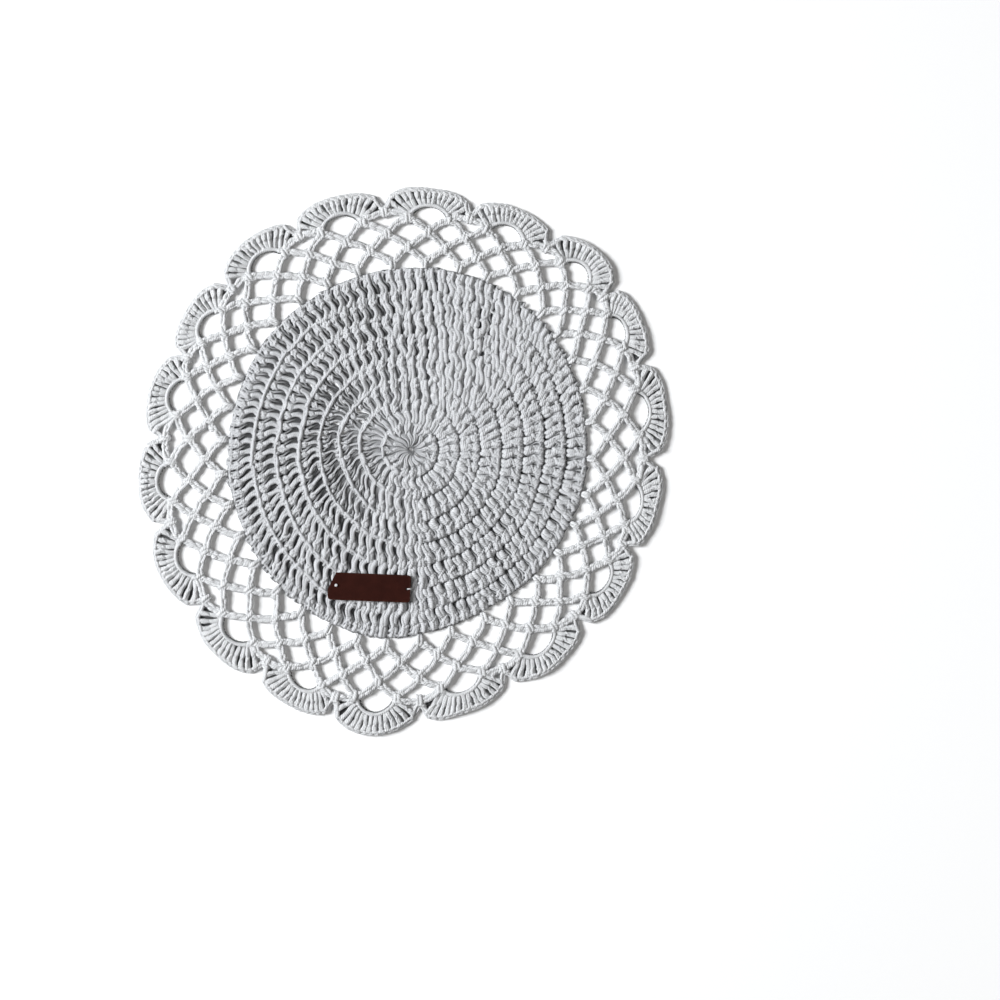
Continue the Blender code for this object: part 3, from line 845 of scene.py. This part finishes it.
def layFans():
    # in each fan posts on the arch at its foot, back strands under them, the chain along the edge
    posts, backs, edges, arches = [], [], [], []
    count = fanLook["posts"]
    middles = 2 * (np.arange(count) + 0.5) / count - 1
    ends = 2 * np.arange(count + 1) / count - 1
    archLeans = np.linspace(-1, 1, fanLook["archPoints"]) * plan["archSpread"] * fanLook["archPast"]
    for fan in range(plan["fans"]):
        across = middles + handWork.normal(0, fanLook["placeWobble"], count)
        foot = archSpot(fan, across * plan["archSpread"])
        head = inset(fanEdge(fan, across), foot, fanLook["rimInset"])
        squeeze = {
            **fanLook["postYarns"],
            "roll": handWork.normal(0, fanLook["roll"], count),
            "lift": handWork.normal(0, fanLook["lift"], count),
            "sway": handWork.normal(*fanLook["sway"], count),
            "openness": handWork.normal(*fanLook["openness"], count),
        }
        posts += layStitch(tallStitch, seatsFor(foot, head, **squeeze))
        posts += layStitch(wrapStitch, seatsFor(foot, head, **squeeze))
        backs += layStitch(backStitch, seatsFor(foot, head, **fanLook["backYarns"]))
        edge = inset(fanEdge(fan, ends), archSpot(fan, ends * plan["archSpread"]), fanLook["edgeInset"])
        roll = handWork.normal(0, fanLook["edgeRoll"], count)
        edges += layStitch(rimStitch, seatsFor(edge[1:], edge[:-1], roll=roll, **fanLook["edgeYarns"]))
        middle = place(plan["archReach"], fan)
        arches.append(inset(archSpot(fan, archLeans), middle, -fanLook["archOut"]))
    edges.append(layFlat(np.stack(arches), fanLook["archHeight"], fanLook["archYarn"]))
    return posts, backs, edges


fanPosts, fanBacks, fanEdges = layFans()
print("fans laid:", plan["fans"], "with", fanLook["posts"], "posts each")
fanPiece = addPiece("fanPosts", fanPosts, paintedLightCotton, paintedShadeStrength=0.9)
fanBacksPiece = addPiece("fanBacks", fanBacks, paintedLightCotton)
edgePiece = addPiece("fanEdges", fanEdges, paintedLightCotton, paintedShadeStrength=0.3)

# Label

leatherLook = {
    "brown": (0.0315, 0.0070, 0.0044),
    "dark": (0.0235, 0.0052, 0.0033),
    "worn": (0.075, 0.029, 0.020),
    "cut": (0.018, 0.0055, 0.0042),
    "cutRange": (0.15, 0.75),  # faces turned up less than this are cut sides
    "cloudScale": 140,
    "cloudRange": (0.35, 0.68),
    "grainScale": 1700,
    "grainDepth": 0.00005,
    "grainRange": (0.0, 0.7),
    "poreScale": 5200,
    "poreDepth": 0.000018,
    "roughness": (0.50, 0.64),  # in the grain's dips and on its top
    "cloudRoughness": 0.05,
    "specular": 0.06,
    "middle": (-0.0280, -0.0905),  # where the label lies, and how it is turned
    "turn": math.radians(-2.3),
    "halfLength": 0.0272,
    "halfWidth": 0.00905,
    "wornRim": 0.0013,  # the rim is rubbed this far in, in patches
    "patchScale": 420,
    "patchRange": (0.42, 0.68),
    "rubbed": 0.75,
}


def leatherStrip(name, look):
    # dull leather: fine grain and pores, clouds of darker brown, a rubbed rim and dark cut sides
    material = bpy.data.materials.new(name)
    make = nodeMaker(material)
    spot = make.add("ShaderNodeTexCoord")["Object"]
    cells = {"Vector": spot, "Scale": look["grainScale"]}
    grain = make.add("ShaderNodeTexVoronoi", cells, feature="SMOOTH_F1")["Distance"]
    pores = make.noise(spot, look["poreScale"], octaves=3.0)
    clouds = make.noise(spot, look["cloudScale"], octaves=4.0, Roughness=0.6)
    clouds = make.spread(clouds, look["cloudRange"])
    onLabel = {"Vector": spot, "Location": (*look["middle"], 0), "Rotation": (0, 0, look["turn"])}
    onLabel = make.add("ShaderNodeMapping", onLabel, vector_type="TEXTURE")["Vector"]
    parts = make.add("ShaderNodeSeparateXYZ", {0: onLabel})
    toEnd = make.calc("SUBTRACT", look["halfLength"], make.calc("ABSOLUTE", parts["X"]))
    toSide = make.calc("SUBTRACT", look["halfWidth"], make.calc("ABSOLUTE", parts["Y"]))
    rim = make.spread(make.calc("MINIMUM", toEnd, toSide), (0.0, look["wornRim"]), (1.0, 0.0))
    patches = make.noise(spot, look["patchScale"], octaves=3.0)
    patches = make.spread(patches, look["patchRange"], (0.0, look["rubbed"]))
    brown = make.mix(clouds, look["dark"], look["brown"])
    worn = make.mix(make.calc("MULTIPLY", rim, patches), brown, look["worn"])
    normal = make.add("ShaderNodeNewGeometry")["Normal"]
    topShare = make.spread(make.add("ShaderNodeSeparateXYZ", {0: normal})["Z"], look["cutRange"])
    rough = make.spread(grain, look["grainRange"], look["roughness"])
    feed(make.shader, {
        "Base Color": make.mix(topShare, look["cut"], worn),
        "Roughness": make.calc("MULTIPLY_ADD", clouds, look["cloudRoughness"], rough),
        "Normal": make.bump(grain, look["grainDepth"], Normal=make.bump(pores, look["poreDepth"])),
        "Specular IOR Level": look["specular"],
    })
    return material


leather = leatherStrip("darkBrownLeather", leatherLook)
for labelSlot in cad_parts["label"].material_slots:
    labelSlot.material = leather
print("label in", leather.name)

# Thread that holds the label, in the label's own directions and in mm: x along, y across, z above the table

threadLook = {
    **cottonLook,
    "colour": (0.70, 0.70, 0.71),
    "shade": (0.56, 0.56, 0.57),
    "paintedShadeDark": 0.0,
    "plies": 2,
    "plyPitch": 0.0021,
    "plyDepth": 0.00009,
    "slubScale": 900,
    "slubDepth": 0.00005,
    "fibreScale": 5200,
    "fibreDepth": 0.00003,
    "sheen": 0.2,
    "radius": 0.00045,  # m
    "flatness": 0.9,
    "stepsPerCorner": 5,
    "knotMiddle": (-21.8, 0.6),
    "knotRadius": 0.55,  # the left knot is a small coil on top of the label, mm
    "knotHeight": 6.05,
    "knotRise": 0.06,  # for each radian
    "knotTurns": (0.6, 10.6, 12),  # its first and last radian, and its corners
}
leftKnot = [(-21.8, 0.6, 2.4), (-21.9, 0.7, 4.6), (-22.1, 0.9, 5.7)]
for coilTurn in np.linspace(*threadLook["knotTurns"]):
    coilX = threadLook["knotMiddle"][0] - threadLook["knotRadius"] * math.cos(coilTurn)
    coilY = threadLook["knotMiddle"][1] + threadLook["knotRadius"] * math.sin(coilTurn)
    leftKnot.append((coilX, coilY, threadLook["knotHeight"] + threadLook["knotRise"] * coilTurn))
leftKnot += [(-21.75, 0.6, 6.5), (-21.7, 0.5, 4.8), (-21.7, 0.5, 2.6)]
rightStitch = [
    (25.2, 0.0, 2.4), (25.25, 0.0, 4.9), (25.4, 0.0, 5.7), (26.0, 0.05, 6.1), (26.9, 0.1, 6.1),
    (27.6, 0.15, 5.5), (27.75, 0.2, 4.2), (27.7, 0.2, 2.6),
]


def layThread(runs):
    # from the label's own directions in mm to the doily's in metres
    turn = leatherLook["turn"]
    spin = np.array(((math.cos(turn), math.sin(turn)), (-math.sin(turn), math.cos(turn))))
    yarns = []
    for corners in runs:
        path = smoothPath(corners, threadLook["stepsPerCorner"] * len(corners)) / 1000
        path[:, :2] = path[:, :2] @ spin + leatherLook["middle"]
        yarns.append((path[None], np.full((1, len(path)), threadLook["radius"]), threadLook["flatness"]))
    return yarns


sewingCotton = cottonYarn("offWhiteSewingThread", threadLook)
thread = layThread([leftKnot, rightStitch])
addPiece("labelThread", thread, sewingCotton, node=None, lay=np.copy, lumpy=0.3)
print("label sewn on")

# Floor

floorLook = {
    "reach": 6.0,
    "colour": (0.97, 0.97, 0.97),
    "roughness": 0.9,
    "grainScale": 900,
    "grainDepth": 0.00002,
}
floorMesh = bpy.data.meshes.new("floor")
far = floorLook["reach"]
floorMesh.from_pydata([(-far, -far, 0), (far, -far, 0), (far, far, 0), (-far, far, 0)], [], [(0, 1, 2, 3)])
paper = bpy.data.materials.new("palePaper")
paperMaker = nodeMaker(paper)
paperGrain = paperMaker.add("ShaderNodeTexNoise", {"Scale": floorLook["grainScale"]})[0]
feed(paperMaker.shader, {
    "Base Color": floorLook["colour"],
    "Roughness": floorLook["roughness"],
    "Normal": paperMaker.bump(paperGrain, floorLook["grainDepth"]),
})
floorMesh.materials.append(paper)
floor = bpy.data.objects.new("floor", floorMesh)
bpy.context.scene.collection.objects.link(floor)
print("floor laid")

# Camera, straight above; the frame is how much of the table it sees across, in metres

view = {"middle": (0.058, -0.033), "height": 1.6, "frame": 0.66, "sensor": 36.0, "farthest": 20}
camera = bpy.data.objects.new("camera", bpy.data.cameras.new("camera"))
camera.location = (*view["middle"], view["height"])
camera.data.sensor_width = view["sensor"]
camera.data.lens = view["sensor"] * view["height"] / view["frame"]
camera.data.clip_end = view["farthest"]
bpy.context.scene.collection.objects.link(camera)
bpy.context.scene.camera = camera

# Light: a low soft sun from the left, as from a window, and two soft lamps; all point at the doily

roomLight = 0.08
lightTable = [  # name, kind, place, size (or the sun's angle), strength, colour
    ("windowLight", "SUN", (-1.65, 0.30, 1.26), 0.5, 3.3, (0.97, 0.985, 1.0)),
    ("nearLight", "AREA", (-0.95, 0.17, 0.73), 0.45, 9.0, (0.97, 0.985, 1.0)),
    ("fillLight", "AREA", (2.4, -0.6, 2.4), 1.6, 22, (1.0, 0.975, 0.94)),
]
for name, kind, spot, size, strength, colour in lightTable:
    lamp = bpy.data.objects.new(name, bpy.data.lights.new(name, kind))
    if kind == "SUN":
        lamp.data.angle = size
    else:
        lamp.data.size = size
    lamp.data.energy = strength
    lamp.data.color = colour
    lamp.location = spot
    lamp.rotation_euler = (-Vector(spot)).to_track_quat("-Z", "Y").to_euler()
    bpy.context.scene.collection.objects.link(lamp)

room = bpy.data.worlds.new("softRoom")
room.use_nodes = True
feed(room.node_tree.nodes["Background"], {"Color": (1, 1, 1), "Strength": roomLight})
bpy.context.scene.world = room
bpy.context.scene.view_settings.view_transform = "Standard"
print("lights and camera set")
